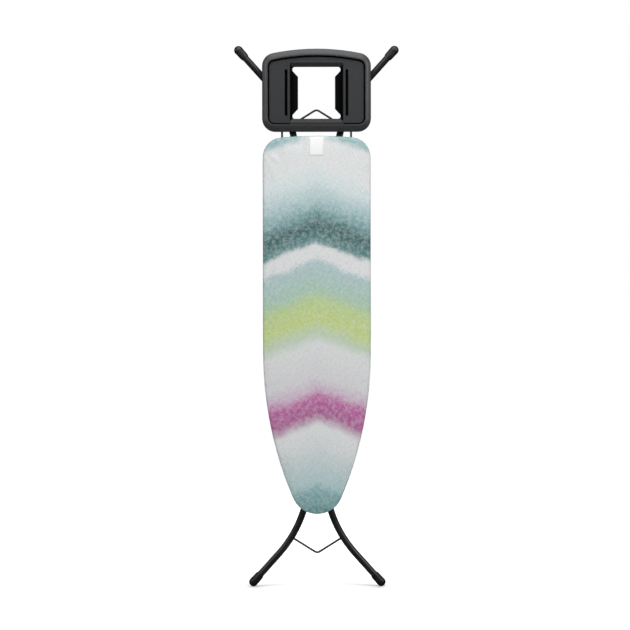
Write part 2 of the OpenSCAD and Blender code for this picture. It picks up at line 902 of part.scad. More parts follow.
module rest_panel() {
    color(black_plastic)
        difference() {
            union() {
                difference() {
                    union() {
                        slab(panel_back - panel_t, panel_back) rest_outline(band_side, band_end);
                        slab(panel_depth, panel_back) rest_outline(band_side + groove_w, band_end + groove_w);
                    }
                    slab(panel_depth + panel_t, panel_back + 1)
                        rest_outline(band_side + groove_w + panel_t, band_end + groove_w + panel_t);
                }
                slab(well_top, rest_back)
                    translate([0, window_z]) rounded_box(well_w + 2 * well_lip, well_h + 2 * well_lip, 8);
                both_sides() slab(panel_depth + eps, rest_back) side_slot(panel_t);
            }
            difference() {
                slab(well_top - 1, rest_back + 1)
                    translate([0, window_z]) rounded_box(well_w, well_h, 5);
                both_sides() wing();
                block([-well_w, well_w], [rest_back - floor_t, rest_back],
                      [window_z + window_h / 2, window_z + well_h]);
                block([-well_w, well_w], [rest_back - floor_t, rest_back],
                      [window_z - well_h, window_z - window_h / 2]);
            }
            slab(rest_depth - 1, rest_back + 1)
                translate([0, window_z]) window_outline();
            both_sides() slab(panel_depth - 1, rest_back - floor_t) side_slot(0);
        }
}

rod_line = hem_depth + cover_t + soft_gap + support_r;

module rest_rod() upright(support_r, support_x, rod_line, [rear_bar_z - socket_h / 2 - 6, high_clip_z + 10]);

module rest_rod_right() color(black_steel) rest_rod();
module rest_rod_left() color(black_steel) mirror([1, 0, 0]) rest_rod();

module rest_sockets() {
    color(black_plastic)
        both_sides()
            difference() {
                block([support_x - 9, support_x + 9], [bar_back, rod_line + support_r + 3],
                      [rear_bar_z - socket_h / 2, rear_bar_z + socket_h / 2]);
                upright(support_r, support_x, rod_line, [rear_bar_z - socket_h, rear_bar_z + socket_h]);
            }
}

module rest_clips() {
    color(black_plastic)
        both_sides()
            for (z = [low_clip_z, high_clip_z])
                difference() {
                    block([support_x - 8, support_x + 8], [rest_back, rod_line + support_r + 2],
                          [z - rest_clip_h / 2, z + rest_clip_h / 2]);
                    upright(support_r, support_x, rod_line, [z - rest_clip_h, z + rest_clip_h]);
                }
}

cover_top();
cover_skirt();
pad();
mesh_panel();
rim();
nose_bar();
middle_bar();
hinge_bar();
rear_bar();
slide_rail_left();
slide_rail_right();
hinge_bracket();
rod_clips();
catch_spring();
rest_sockets();
board_rivets();
rest_frame();
rest_panel();
rest_rod_left();
rest_rod_right();
rest_clips();
inner_tube_left();
inner_tube_right();
inner_brace();
inner_cap_left();
inner_cap_right();
hinge_lugs();
hinge_axle();
pivot_bolts();
pivot_spacers();
outer_tube_left();
outer_tube_right();
outer_brace();
outer_cap_left();
outer_cap_right();
slide_lugs();
slide_axle();
slide_bushes();
bush_caps();
catch_rack();
catch_rod();
lever_arm();
lever_grip();
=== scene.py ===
"""Looks of a folded ironing board, laid out as an add-on and run as a script."""

import math

import bmesh
import bpy
from bpy.props import FloatProperty, FloatVectorProperty, PointerProperty
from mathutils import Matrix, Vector, noise
from mathutils.bvhtree import BVHTree


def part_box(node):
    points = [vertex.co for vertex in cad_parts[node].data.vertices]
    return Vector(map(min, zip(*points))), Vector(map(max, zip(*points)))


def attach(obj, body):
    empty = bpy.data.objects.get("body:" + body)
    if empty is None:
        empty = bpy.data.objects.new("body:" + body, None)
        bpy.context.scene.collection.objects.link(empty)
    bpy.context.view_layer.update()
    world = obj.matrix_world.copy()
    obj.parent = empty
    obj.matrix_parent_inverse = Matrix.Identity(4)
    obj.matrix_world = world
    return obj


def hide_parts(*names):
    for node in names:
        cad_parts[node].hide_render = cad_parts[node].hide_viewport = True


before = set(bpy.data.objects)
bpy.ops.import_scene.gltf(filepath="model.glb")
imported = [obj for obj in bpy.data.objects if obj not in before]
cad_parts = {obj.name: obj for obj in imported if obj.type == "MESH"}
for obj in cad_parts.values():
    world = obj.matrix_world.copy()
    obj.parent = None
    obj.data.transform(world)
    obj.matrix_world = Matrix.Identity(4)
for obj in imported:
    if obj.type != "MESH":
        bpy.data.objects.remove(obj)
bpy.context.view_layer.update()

bl_info = {
    "name": "Ironing board",
    "version": (1, 0, 0),
    "blender": (4, 5, 0),
    "location": "View3D > Sidebar > Ironing board",
    "description": "Dresses a folding ironing board: cover, pad, steel, mouldings and stage",
    "category": "Object",
}

TABLE = "table"
COVER_LOW, COVER_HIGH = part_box("cover_top")
SKIRT_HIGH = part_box("cover_skirt")[1]
PAD_LOW, PAD_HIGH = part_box("pad")
REST_LOW, REST_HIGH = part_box("rest_frame")
# The face of the iron rest's panel is 8 mm behind its rim.
REST_FACE = REST_LOW.y + 0.008
# How far the hollow inside the rim begins from the rest's sides and from its ends
RIM_SIDE, RIM_END = 0.0155, 0.0195

BLACK_STEEL_NODES = (
    "rim", "nose_bar", "middle_bar", "hinge_bar", "rear_bar", "slide_rail_left", "slide_rail_right",
    "hinge_bracket", "rest_rod_left", "rest_rod_right", "inner_tube_left", "inner_tube_right",
    "inner_brace", "hinge_lugs", "outer_tube_left", "outer_tube_right", "outer_brace", "slide_lugs",
    "lever_arm", "mesh_panel",
)
MOULDED_NODES = ("rest_sockets", "rest_clips", "rod_clips", "lever_grip", "bush_caps")
FOOT_CAP_NODES = ("inner_cap_left", "inner_cap_right", "outer_cap_left", "outer_cap_right")
ZINC_NODES = (
    "catch_spring", "board_rivets", "hinge_axle", "pivot_bolts", "slide_axle", "catch_rack", "catch_rod",
)
NYLON_NODES = ("pivot_spacers", "slide_bushes")


# ---------------------------------------------------------------- colours and nodes

def linear(code):
    """An sRGB hex colour as the linear RGBA that a shader takes."""
    parts = [int(code[i:i + 2], 16) / 255 for i in (1, 3, 5)]
    return [c / 12.92 if c <= 0.04045 else ((c + 0.055) / 1.055) ** 2.4 for c in parts] + [1.0]


def add(tree, kind, settings=None, inputs=None, stops=None):
    """Adds a node with its settings, its input values or links, and a ramp's stops."""
    made = tree.nodes.new(kind)
    for name, value in (settings or {}).items():
        setattr(made, name, value)
    for key, value in (inputs or {}).items():
        if isinstance(value, bpy.types.NodeSocket):
            tree.links.new(value, made.inputs[key])
        else:
            made.inputs[key].default_value = value
    if stops:
        ramp = made.color_ramp.elements
        while len(ramp) > 1:
            ramp.remove(ramp[-1])
        for i, (place, code) in enumerate(stops):
            stop = ramp[0] if i == 0 else ramp.new(place)
            stop.position = place
            stop.color = linear(code) if isinstance(code, str) else (code, code, code, 1.0)
    return made


def new_material(name, base, roughness, metallic=0.0, **shader):
    """A material with a principled shader, and the tree, shader and Object coordinates to go on with."""
    material = bpy.data.materials.new(name)
    material.use_nodes = True
    material.diffuse_color = base
    tree = material.node_tree
    tree.nodes.clear()
    body = add(tree, "ShaderNodeBsdfPrincipled", inputs={
        "Base Color": base, "Roughness": roughness, "Metallic": metallic, **shader})
    add(tree, "ShaderNodeOutputMaterial", inputs={"Surface": body.outputs[0]})
    place = add(tree, "ShaderNodeTexCoord").outputs["Object"]
    return material, tree, body, place


def powder_coat(settings):
    """Black powder coat, sprayed and baked: satin, with a faint orange peel."""
    base = list(settings.steel_colour) + [1.0]
    material, tree, body, place = new_material(
        "powder_coated_steel", base, 0.32, **{"Specular IOR Level": 0.5})
    # Orange peel is about 1.5 mm across, and drifts of gloss about 60 mm.
    peel = add(tree, "ShaderNodeTexNoise", inputs={"Vector": place, "Scale": 650.0, "Detail": 2.0})
    drift = add(tree, "ShaderNodeTexNoise", inputs={"Vector": place, "Scale": 16.0, "Detail": 3.0})
    gloss = add(tree, "ShaderNodeMapRange", inputs={0: drift.outputs[0], 3: 0.27, 4: 0.37})
    tree.links.new(gloss.outputs[0], body.inputs["Roughness"])
    shade = add(tree, "ShaderNodeMix", {"data_type": "RGBA", "blend_type": "MULTIPLY"},
                {0: 1.0, 6: base, 7: add(tree, "ShaderNodeValToRGB", inputs={0: drift.outputs[0]},
                                         stops=[(0.3, 0.72), (0.7, 1.0)]).outputs[0]})
    tree.links.new(shade.outputs[2], body.inputs["Base Color"])
    bump = add(tree, "ShaderNodeBump",
               inputs={"Strength": 0.12, "Distance": 0.0004, "Height": peel.outputs[0]})
    tree.links.new(bump.outputs[0], body.inputs["Normal"])
    return material


def painted_recess_shade(tree, place):
    """Mask of painted shade: 1 inside the iron rest's rim and behind the face of its panel, 0 elsewhere."""
    axes = add(tree, "ShaderNodeSeparateXYZ", inputs={0: place})
    side = add(tree, "ShaderNodeMath", {"operation": "ABSOLUTE"}, {0: axes.outputs["X"]})
    middle = (REST_LOW.z + REST_HIGH.z) / 2
    rise = add(tree, "ShaderNodeMath", {"operation": "COMPARE"},
               {0: axes.outputs["Z"], 1: middle, 2: REST_HIGH.z - middle - RIM_END})
    narrow = add(tree, "ShaderNodeMath", {"operation": "LESS_THAN"},
                 {0: side.outputs[0], 1: REST_HIGH.x - RIM_SIDE})
    # The painted shade deepens over the first 1.5 mm behind the face.
    depth = add(tree, "ShaderNodeMapRange",
                inputs={0: axes.outputs["Y"], 1: REST_FACE - 0.0002, 2: REST_FACE + 0.0015})
    box = add(tree, "ShaderNodeMath", {"operation": "MULTIPLY"}, {0: rise.outputs[0], 1: narrow.outputs[0]})
    inside = add(tree, "ShaderNodeMath", {"operation": "MULTIPLY"}, {0: box.outputs[0], 1: depth.outputs[0]})
    return inside.outputs[0]


def moulded_polyethylene(settings):
    """Soft black polyethylene, injection moulded: dark and a little glossy, with faint flow clouds."""
    base = list(settings.foot_colour) + [1.0]
    material, tree, body, place = new_material(
        "moulded_polyethylene", base, 0.4, **{"Specular IOR Level": 0.5})
    clouds = add(tree, "ShaderNodeTexNoise", inputs={"Vector": place, "Scale": 90.0, "Detail": 3.0})
    gloss = add(tree, "ShaderNodeMapRange", inputs={0: clouds.outputs[0], 3: 0.34, 4: 0.50})
    tree.links.new(gloss.outputs[0], body.inputs["Roughness"])
    return material


def moulded_polypropylene(settings, recess_shade=None):
    """Black polypropylene, injection moulded in a spark-eroded tool: matt, with a fine grain.

    Given a mask of deep, narrow recesses, these get painted shade: a near-black colour and almost no gloss."""
    base = list(settings.plastic_colour) + [1.0]
    name = "polypropylene_painted_shade" if recess_shade else "moulded_polypropylene"
    material, tree, body, place = new_material(name, base, 0.5, **{"Specular IOR Level": 0.45})
    # The tool's grain is about 0.8 mm, drawn at 1.4 mm so that it shows from a metre away.
    grain = add(tree, "ShaderNodeTexNoise",
                inputs={"Vector": place, "Scale": 700.0, "Detail": 3.0, "Roughness": 0.6})
    flow = add(tree, "ShaderNodeTexNoise", inputs={"Vector": place, "Scale": 9.0, "Detail": 2.0})
    speckle = add(tree, "ShaderNodeValToRGB", inputs={0: grain.outputs[0]}, stops=[(0.35, 0.80), (0.65, 1.0)])
    shade = add(tree, "ShaderNodeMix", {"data_type": "RGBA", "blend_type": "MULTIPLY"},
                {0: 1.0, 6: base, 7: speckle.outputs[0]})
    gloss = add(tree, "ShaderNodeMapRange", inputs={0: flow.outputs[0], 3: 0.40, 4: 0.50})
    colour, rough = shade.outputs[2], gloss.outputs[0]
    if recess_shade:
        bare = recess_shade(tree, place)
        # Painted shade: near black in the recesses, and the gloss fades there too.
        deep = add(tree, "ShaderNodeMix", {"data_type": "RGBA"}, {0: bare, 6: colour, 7: linear("#060607")})
        colour = deep.outputs[2]
        sheen = add(tree, "ShaderNodeMapRange", inputs={0: bare, 3: 0.45, 4: 0.06})
        tree.links.new(sheen.outputs[0], body.inputs["Specular IOR Level"])
    tree.links.new(colour, body.inputs["Base Color"])
    tree.links.new(rough, body.inputs["Roughness"])
    bump = add(tree, "ShaderNodeBump",
               inputs={"Strength": 0.25, "Distance": 0.0003, "Height": grain.outputs[0]})
    tree.links.new(bump.outputs[0], body.inputs["Normal"])
    return material


def zinc_plated_steel():
    """Bright zinc on drawn steel: grey metal with fine lines along its length and cloudy patches."""
    material, tree, body, place = new_material("zinc_plated_steel", linear("#b3b6b9"), 0.35, 1.0)
    stretched = add(tree, "ShaderNodeMapping", inputs={"Vector": place, "Scale": (900.0, 900.0, 30.0)})
    lines = add(tree, "ShaderNodeTexNoise",
                inputs={"Vector": stretched.outputs[0], "Scale": 1.0, "Detail": 3.0})
    clouds = add(tree, "ShaderNodeTexNoise", inputs={"Vector": place, "Scale": 60.0, "Detail": 3.0})
    gloss = add(tree, "ShaderNodeMapRange", inputs={0: clouds.outputs[0], 3: 0.26, 4: 0.46})
    tree.links.new(gloss.outputs[0], body.inputs["Roughness"])
    tone = add(tree, "ShaderNodeValToRGB", inputs={0: clouds.outputs[0]},
               stops=[(0.3, "#9da1a5"), (0.7, "#bfc2c4")])
    tree.links.new(tone.outputs[0], body.inputs["Base Color"])
    bump = add(tree, "ShaderNodeBump",
               inputs={"Strength": 0.1, "Distance": 0.0002, "Height": lines.outputs[0]})
    tree.links.new(bump.outputs[0], body.inputs["Normal"])
    return material


def moulded_nylon():
    """Natural nylon, injection moulded: off-white and slightly waxy."""
    material, tree, body, place = new_material("moulded_nylon", linear("#dad8cf"), 0.42)
    haze = add(tree, "ShaderNodeTexNoise", inputs={"Vector": place, "Scale": 120.0, "Detail": 2.0})
    tone = add(tree, "ShaderNodeValToRGB", inputs={0: haze.outputs[0]},
               stops=[(0.3, "#cfcdc2"), (0.7, "#e0ded6")])
    tree.links.new(tone.outputs[0], body.inputs["Base Color"])
    return material


def cut_foam():
    """Open-cell polyether foam, sliced from a block: cream, matt and pitted by its cells."""
    material, tree, body, place = new_material("cut_foam", linear("#e6dfcb"), 0.95)
    # Cells are about 1.2 mm across, drawn at 2 mm.
    cells = add(tree, "ShaderNodeTexVoronoi", inputs={"Vector": place, "Scale": 500.0})
    tone = add(tree, "ShaderNodeValToRGB", inputs={0: cells.outputs[0]},
               stops=[(0.0, "#efe9d8"), (0.8, "#cfc6ad")])
    tree.links.new(tone.outputs[0], body.inputs["Base Color"])
    bump = add(tree, "ShaderNodeBump", {"invert": True},
               {"Strength": 0.6, "Distance": 0.001, "Height": cells.outputs[0]})
    tree.links.new(bump.outputs[0], body.inputs["Normal"])
    return material


def linen_threads(tree, place, pitch):
    """The height of a plain weave: uneven threads across and along the cloth."""
    # A thread stays thick or thin for about 9 mm: 110 changes in a metre.
    changes = 110.0
    across = add(tree, "ShaderNodeMapping", inputs={"Vector": place, "Scale": (changes, 60.0, 1 / pitch)})
    along = add(tree, "ShaderNodeMapping", inputs={"Vector": place, "Scale": (1 / pitch, 60.0, changes)})
    weft = add(tree, "ShaderNodeTexNoise", inputs={"Vector": across.outputs[0], "Scale": 1.0, "Detail": 2.0})
    warp = add(tree, "ShaderNodeTexNoise", inputs={"Vector": along.outputs[0], "Scale": 1.0, "Detail": 2.0})
    both = add(tree, "ShaderNodeMath", {"operation": "ADD"}, {0: weft.outputs[0], 1: warp.outputs[0]})
    mean = add(tree, "ShaderNodeMath", {"operation": "MULTIPLY"}, {0: both.outputs[0], 1: 0.5})
    return mean.outputs[0]


def printed_cotton(settings):
    """Plain-woven cotton, printed with soft-edged chevrons: matt, with uneven threads and a faint nap."""
    material, tree, body, place = new_material(
        "printed_cotton", linear("#cfd1d1"), 0.88,
        **{"Specular IOR Level": 0.25, "Sheen Weight": 0.12, "Sheen Roughness": 0.5})
    # A thread is about 0.5 mm, drawn at 1.8 mm so that the weave shows at arm's length.
    threads = linen_threads(tree, place, 0.0018)
    axes = add(tree, "ShaderNodeSeparateXYZ", inputs={0: place})
    side = add(tree, "ShaderNodeMath", {"operation": "ABSOLUTE"}, {0: axes.outputs["X"]})
    slope = add(tree, "ShaderNodeMath", {"operation": "MULTIPLY_ADD"},
                {0: side.outputs[0], 1: settings.print_slope, 2: axes.outputs["Z"]})
    # The dye creeps in slow waves and bleeds along single threads, each by some 15 mm.
    creep = add(tree, "ShaderNodeTexNoise",
                inputs={"Vector": place, "Scale": 14.0, "Detail": 4.0, "Roughness": 0.6})
    waves = add(tree, "ShaderNodeMath", {"operation": "MULTIPLY_ADD"},
                {0: creep.outputs[0], 1: 0.045, 2: slope.outputs[0]})
    bleed = add(tree, "ShaderNodeMath", {"operation": "MULTIPLY_ADD"},
                {0: threads, 1: 0.05, 2: waves.outputs[0]})
    repeat = add(tree, "ShaderNodeMath", {"operation": "DIVIDE"},
                 {0: bleed.outputs[0], 1: settings.print_repeat})
    turn = add(tree, "ShaderNodeMath", {"operation": "FRACT"}, {0: repeat.outputs[0]})
    dye = add(tree, "ShaderNodeValToRGB", inputs={0: turn.outputs[0]}, stops=[
        (0.000, "#9fb9bb"), (0.045, "#c6d2d3"), (0.085, "#d3d5d5"), (0.150, "#cfd1d1"), (0.165, "#8aa9ab"),
        (0.190, "#7aa3a5"), (0.235, "#5c8b8d"), (0.285, "#7da5a7"), (0.300, "#a3bec0"), (0.345, "#b4c5c6"),
        (0.400, "#cdd1d1"), (0.440, "#d6d7d7"), (0.455, "#b79fb2"), (0.470, "#a3558a"), (0.510, "#b45f99"),
        (0.530, "#c3a9bf"), (0.560, "#cbcacd"), (0.640, "#d2d4d3"), (0.665, "#b5c7b0"), (0.700, "#b7c97b"),
        (0.745, "#b0c583"), (0.780, "#9dbcaa"), (0.835, "#a2b9bc"), (0.850, "#d2d4d4"), (0.880, "#d4d5d5"),
        (0.892, "#547f80"), (0.935, "#325a5a"), (0.965, "#6a9294"), (1.000, "#9fb9bb")])
    # Washes of stronger and weaker dye, and bare threads that took none.
    wash = add(tree, "ShaderNodeTexNoise",
               inputs={"Vector": place, "Scale": 90.0, "Detail": 5.0, "Roughness": 0.75})
    paler = add(tree, "ShaderNodeMapRange", inputs={0: wash.outputs[0], 1: 0.42, 2: 0.72, 3: 0.0, 4: 0.45})
    washed = add(tree, "ShaderNodeMix", {"data_type": "RGBA"},
                 {0: paler.outputs[0], 6: dye.outputs[0], 7: linear("#d2d5d6")})
    slubs = add(tree, "ShaderNodeValToRGB", inputs={0: threads},
                stops=[(0.36, 0.80), (0.5, 0.96), (0.62, 1.0)])
    woven = add(tree, "ShaderNodeMix", {"data_type": "RGBA", "blend_type": "MULTIPLY"},
                {0: 1.0, 6: washed.outputs[2], 7: slubs.outputs[0]})
    tree.links.new(woven.outputs[2], body.inputs["Base Color"])
    bump = add(tree, "ShaderNodeBump", inputs={"Strength": 0.35, "Distance": 0.0006, "Height": threads})
    tree.links.new(bump.outputs[0], body.inputs["Normal"])
    return material


def woven_label(settings):
    """White woven ribbon: smooth, dense and slightly glossy, with a run of stitches down each side."""
    material, tree, body, place = new_material("woven_label", linear("#e0e0de"), 0.6)
    ribs = add(tree, "ShaderNodeTexWave", {"bands_direction": "Z"},
               {"Vector": place, "Scale": 160.0, "Distortion": 0.4})
    tone = add(tree, "ShaderNodeValToRGB", inputs={0: ribs.outputs[1]},
               stops=[(0.0, "#dcdcda"), (1.0, "#e6e6e4")])
    # Stitches 2.4 mm long, one every 3.4 mm, 2 mm in from the ribbon's edges.
    axes = add(tree, "ShaderNodeSeparateXYZ", inputs={0: place})
    side = add(tree, "ShaderNodeMath", {"operation": "ABSOLUTE"}, {0: axes.outputs["X"]})
    step, length, inset, half_width = 0.0034, 0.0024, 0.002, 0.0004
    row = add(tree, "ShaderNodeMath", {"operation": "COMPARE"},
              {0: side.outputs[0], 1: settings.width / 2 - inset, 2: half_width})
    turn = add(tree, "ShaderNodeMath", {"operation": "PINGPONG"}, {0: axes.outputs["Z"], 1: step / 2})
    dash = add(tree, "ShaderNodeMath", {"operation": "LESS_THAN"}, {0: turn.outputs[0], 1: length / 2})
    stitch = add(tree, "ShaderNodeMath", {"operation": "MULTIPLY"}, {0: row.outputs[0], 1: dash.outputs[0]})
    sewn = add(tree, "ShaderNodeMix", {"data_type": "RGBA"},
               {0: stitch.outputs[0], 6: tone.outputs[0], 7: linear("#c9cbcc")})
    tree.links.new(sewn.outputs[2], body.inputs["Base Color"])
    height = add(tree, "ShaderNodeMath", {"operation": "MULTIPLY_ADD"},
                 {0: stitch.outputs[0], 1: 2.0, 2: ribs.outputs[1]})
    bump = add(tree, "ShaderNodeBump",
               inputs={"Strength": 0.2, "Distance": 0.0003, "Height": height.outputs[0]})
    tree.links.new(bump.outputs[0], body.inputs["Normal"])
    return material


# ---------------------------------------------------------------- mesh helpers

def mesh_of(shape, name):
    """The bmesh as a mesh with a name; the bmesh is freed."""
    mesh = bpy.data.meshes.new(name)
    shape.to_mesh(mesh)
    shape.free()
    return mesh


def points(geometry):
    """The vertices in what a bmesh operator made."""
    return [part for part in geometry if isinstance(part, bmesh.types.BMVert)]


def finished(name, mesh, material, body):
    """Links a mesh as a piece that rides on a body and takes a material."""
    piece = bpy.data.objects.new(name, mesh)
    bpy.context.scene.collection.objects.link(piece)
    piece.data.materials.clear()
    piece.data.materials.append(material)
    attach(piece, body)
    return piece


def dress(nodes, material):
    """Gives CAD nodes a material."""
    for name in nodes:
        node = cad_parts[name]
        node.data.materials.clear()
        node.data.materials.append(material)


def table_face():
    """The cover's front outline as one face, looking to the front."""
    shape = bmesh.new()
    shape.from_mesh(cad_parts["cover_top"].data)
    bmesh.ops.remove_doubles(shape, verts=shape.verts, dist=1e-5)
    others = [f for f in shape.faces if f.calc_center_median().y > COVER_LOW.y + 1e-4]
    bmesh.ops.delete(shape, geom=others, context="FACES")
    bmesh.ops.dissolve_faces(shape, faces=shape.faces[:])
    shape.normal_update()
    if shape.faces[:][0].normal.y > 0:
        bmesh.ops.reverse_faces(shape, faces=shape.faces[:])
    return shape


def shrink(shape, distance):
    """Takes a margin off the one face of a shape."""
    bmesh.ops.inset_region(shape, faces=shape.faces[:], thickness=distance, use_boundary=True,
                           use_even_offset=True)
    bmesh.ops.delete(shape, geom=[f for f in shape.faces if len(f.verts) == 4], context="FACES")


def round_off(shape, edges, radius, segments):
    """Rounds the edges of a shape."""
    bmesh.ops.bevel(shape, geom=edges, offset=radius, offset_type="OFFSET", affect="EDGES",
                    segments=segments, profile=0.5, material=-1, clamp_overlap=True)


class Outline:
    """Distances from the table's edge and along it, for any point behind or in front of it."""

    def __init__(self):
        wall = table_face()
        ring = [e for e in wall.edges if e.is_boundary]
        # The wall stands along the edge, and reaches 100 mm in front of it and behind it.
        reach = 0.1
        made = bmesh.ops.extrude_edge_only(wall, edges=ring)["geom"]
        bmesh.ops.translate(wall, vec=(0, 2 * reach, 0), verts=points(made))
        bmesh.ops.delete(wall, geom=[f for f in wall.faces if len(f.verts) > 4], context="FACES_ONLY")
        bmesh.ops.translate(wall, vec=(0, -reach, 0), verts=wall.verts)
        wall.faces.ensure_lookup_table()
        self.tree = BVHTree.FromBMesh(wall)
        self.start, run = {}, 0.0
        face = wall.faces[0]
        while face.index not in self.start:
            upright = sorted(face.edges, key=lambda e: -abs(e.verts[0].co.y - e.verts[1].co.y))[:2]
            free = [e for e in upright if not any(f.index in self.start for f in e.link_faces if f != face)]
            ahead = (free or upright)[0]
            behind = upright[1] if ahead == upright[0] else upright[0]
            here = behind.verts[0].co.xz
            self.start[face.index] = (run, Vector(here))
            run += (ahead.verts[0].co.xz - here).length
            face = next((f for f in ahead.link_faces if f != face), face)
        wall.free()

    def __call__(self, place):
        """A point's distance in from the edge, its distance along it, and the place on the edge."""
        level = COVER_LOW.y + 0.02
        near, _, index, _ = self.tree.find_nearest(Vector((place.x, level, place.z)))
        start, corner = self.start[index]
        spot = Vector((near.x, near.z))
        return (spot - Vector((place.x, place.z))).length, start + (spot - corner).length, spot


def section(name, depth):
    """A bmesh of the loops in which a plane at a depth cuts a CAD node, and the loops, widest first."""
    shape = bmesh.new()
    shape.from_mesh(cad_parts[name].data)
    bmesh.ops.remove_doubles(shape, verts=shape.verts, dist=1e-5)
    bmesh.ops.bisect_plane(shape, geom=shape.verts[:] + shape.edges[:] + shape.faces[:],
                           plane_co=(0, depth, 0), plane_no=(0, 1, 0), clear_inner=True, clear_outer=True)
    bmesh.ops.dissolve_limit(shape, angle_limit=0.01, verts=shape.verts, edges=shape.edges)
    loops, left = [], set(shape.verts)
    while left:
        loop = [left.pop()]
        for vertex in loop:
            near = [e.other_vert(vertex) for e in vertex.link_edges if e.other_vert(vertex) in left]
            left.difference_update(near)
            loop.extend(near)
        loops.append(loop)
    loops.sort(key=lambda loop: min(v.co.x for v in loop) - max(v.co.x for v in loop))
    return shape, loops


def simulate_cloth(name, mesh, pinned, pressure, cap, frames=20):
    """Moves the mesh as a short cloth run under air pressure does.

    Each point's travel is capped, and only a share of it inward or sideways is kept."""
    inward, sideways = 0.25, 0.3
    trial = bpy.data.objects.new(name, mesh)
    bpy.context.scene.collection.objects.link(trial)
    group = trial.vertex_groups.new(name="held")
    group.add(pinned, 1.0, "ADD")
    cloth = trial.modifiers.new("cloth", "CLOTH")
    cloth.settings.quality = 4
    cloth.settings.mass = 0.2
    cloth.settings.tension_stiffness = 12
    cloth.settings.compression_stiffness = 8
    cloth.settings.shear_stiffness = 4
    cloth.settings.bending_stiffness = 0.6
    cloth.settings.use_pressure = True
    cloth.settings.uniform_pressure_force = pressure
    cloth.settings.vertex_group_mass = "held"
    cloth.settings.effector_weights.gravity = 0
    cloth.point_cache.frame_start = 1
    cloth.point_cache.frame_end = frames
    for step in range(1, frames + 1):
        bpy.context.scene.frame_set(step)
    graph = bpy.context.evaluated_depsgraph_get()
    swollen = trial.evaluated_get(graph).to_mesh()
    moved = [v.co.copy() for v in swollen.vertices]
    outward = [v.normal.copy() for v in mesh.vertices]
    for vertex, place, normal in zip(mesh.vertices, moved, outward):
        travel = place - vertex.co
        if travel.length > cap:
            travel *= cap / travel.length
        rise = travel.dot(normal)
        vertex.co += normal * (rise if rise > 0 else inward * rise) + sideways * (travel - normal * rise)
    trial.evaluated_get(graph).to_mesh_clear()
    bpy.data.objects.remove(trial)
    bpy.context.scene.frame_set(1)


# ---------------------------------------------------------------- settings

class BoardCoverSettings(bpy.types.PropertyGroup):
    edge_radius: FloatProperty(
        name="Edge radius", description="Radius of the padded edge",
        default=0.009, min=0.003, max=0.02, unit="LENGTH")
    swell: FloatProperty(
        name="Swell", description="Most that a point of the cover moves as it fills",
        default=0.0025, min=0.0, max=0.006, unit="LENGTH")
    hem_width: FloatProperty(
        name="Hem width", description="Width of the gathered hem behind the rim",
        default=0.022, min=0.01, max=0.04, unit="LENGTH")
    gather_pitch: FloatProperty(
        name="Gather pitch", description="Distance from one gather of the hem to the next",
        default=0.013, min=0.006, max=0.03, unit="LENGTH")
    gather_depth: FloatProperty(
        name="Gather depth", description="Height of the gathers at the hem's free edge",
        default=0.0024, min=0.0, max=0.004, unit="LENGTH")
    print_repeat: FloatProperty(
        name="Print repeat", description="Height of one repeat of the printed chevrons",
        default=1.19, min=0.1, max=2.0, unit="LENGTH")
    print_slope: FloatProperty(
        name="Print slope", description="Rise of a chevron for each metre from the middle",
        default=0.36, min=-1.0, max=1.0)


class BoardLabelSettings(bpy.types.PropertyGroup):
    width: FloatProperty(
        name="Width", description="Width of the bare woven label",
        default=0.041, min=0.02, max=0.06, unit="LENGTH")
    height: FloatProperty(
        name="Height", description="Height of the bare woven label",
        default=0.052, min=0.02, max=0.08, unit="LENGTH")
    drop: FloatProperty(
        name="Drop", description="Distance from the cover's highest point down to the label",
        default=0.007, min=0.001, max=0.02, unit="LENGTH")


class BoardRestSettings(bpy.types.PropertyGroup):
    rim_drop: FloatProperty(
        name="Rim drop", description="Depth of the rim's outer edge behind its crest",
        default=0.009, min=0.003, max=0.012, unit="LENGTH")
    wall: FloatProperty(
        name="Wall", description="Thickness of the moulded walls",
        default=0.0025, min=0.0015, max=0.003, unit="LENGTH")
    well_width: FloatProperty(
        name="Well width", description="Width of the well round the window, at its mouth",
        default=0.158, min=0.14, max=0.17, unit="LENGTH")
    well_height: FloatProperty(
        name="Well height", description="Height of the well round the window, at its mouth",
        default=0.175, min=0.16, max=0.18, unit="LENGTH")
    floor_width: FloatProperty(
        name="Floor width", description="Width of the well at its floor",
        default=0.141, min=0.12, max=0.15, unit="LENGTH")
    floor_height: FloatProperty(
        name="Floor height", description="Height of the well at its floor",
        default=0.152, min=0.14, max=0.16, unit="LENGTH")
    window_rise: FloatProperty(
        name="Window rise", description="Height of the window's middle over the rest's edge",
        default=0.114, min=0.1, max=0.12, unit="LENGTH")
    clip_reach: FloatProperty(
        name="Clip reach", description="Distance of each rod's clip from the middle",
        default=0.101, min=0.09, max=0.11, unit="LENGTH")


class BoardFinishSettings(bpy.types.PropertyGroup):
    steel_colour: FloatVectorProperty(
        name="Steel colour", description="Colour of the powder coat",
        subtype="COLOR", size=3, min=0.0, max=1.0, default=linear("#1d1e20")[:3])
    plastic_colour: FloatVectorProperty(
        name="Plastic colour", description="Colour of the moulded parts",
        subtype="COLOR", size=3, min=0.0, max=1.0, default=linear("#323335")[:3])
    foot_colour: FloatVectorProperty(
        name="Foot colour", description="Colour of the foot caps",
        subtype="COLOR", size=3, min=0.0, max=1.0, default=linear("#0f1011")[:3])


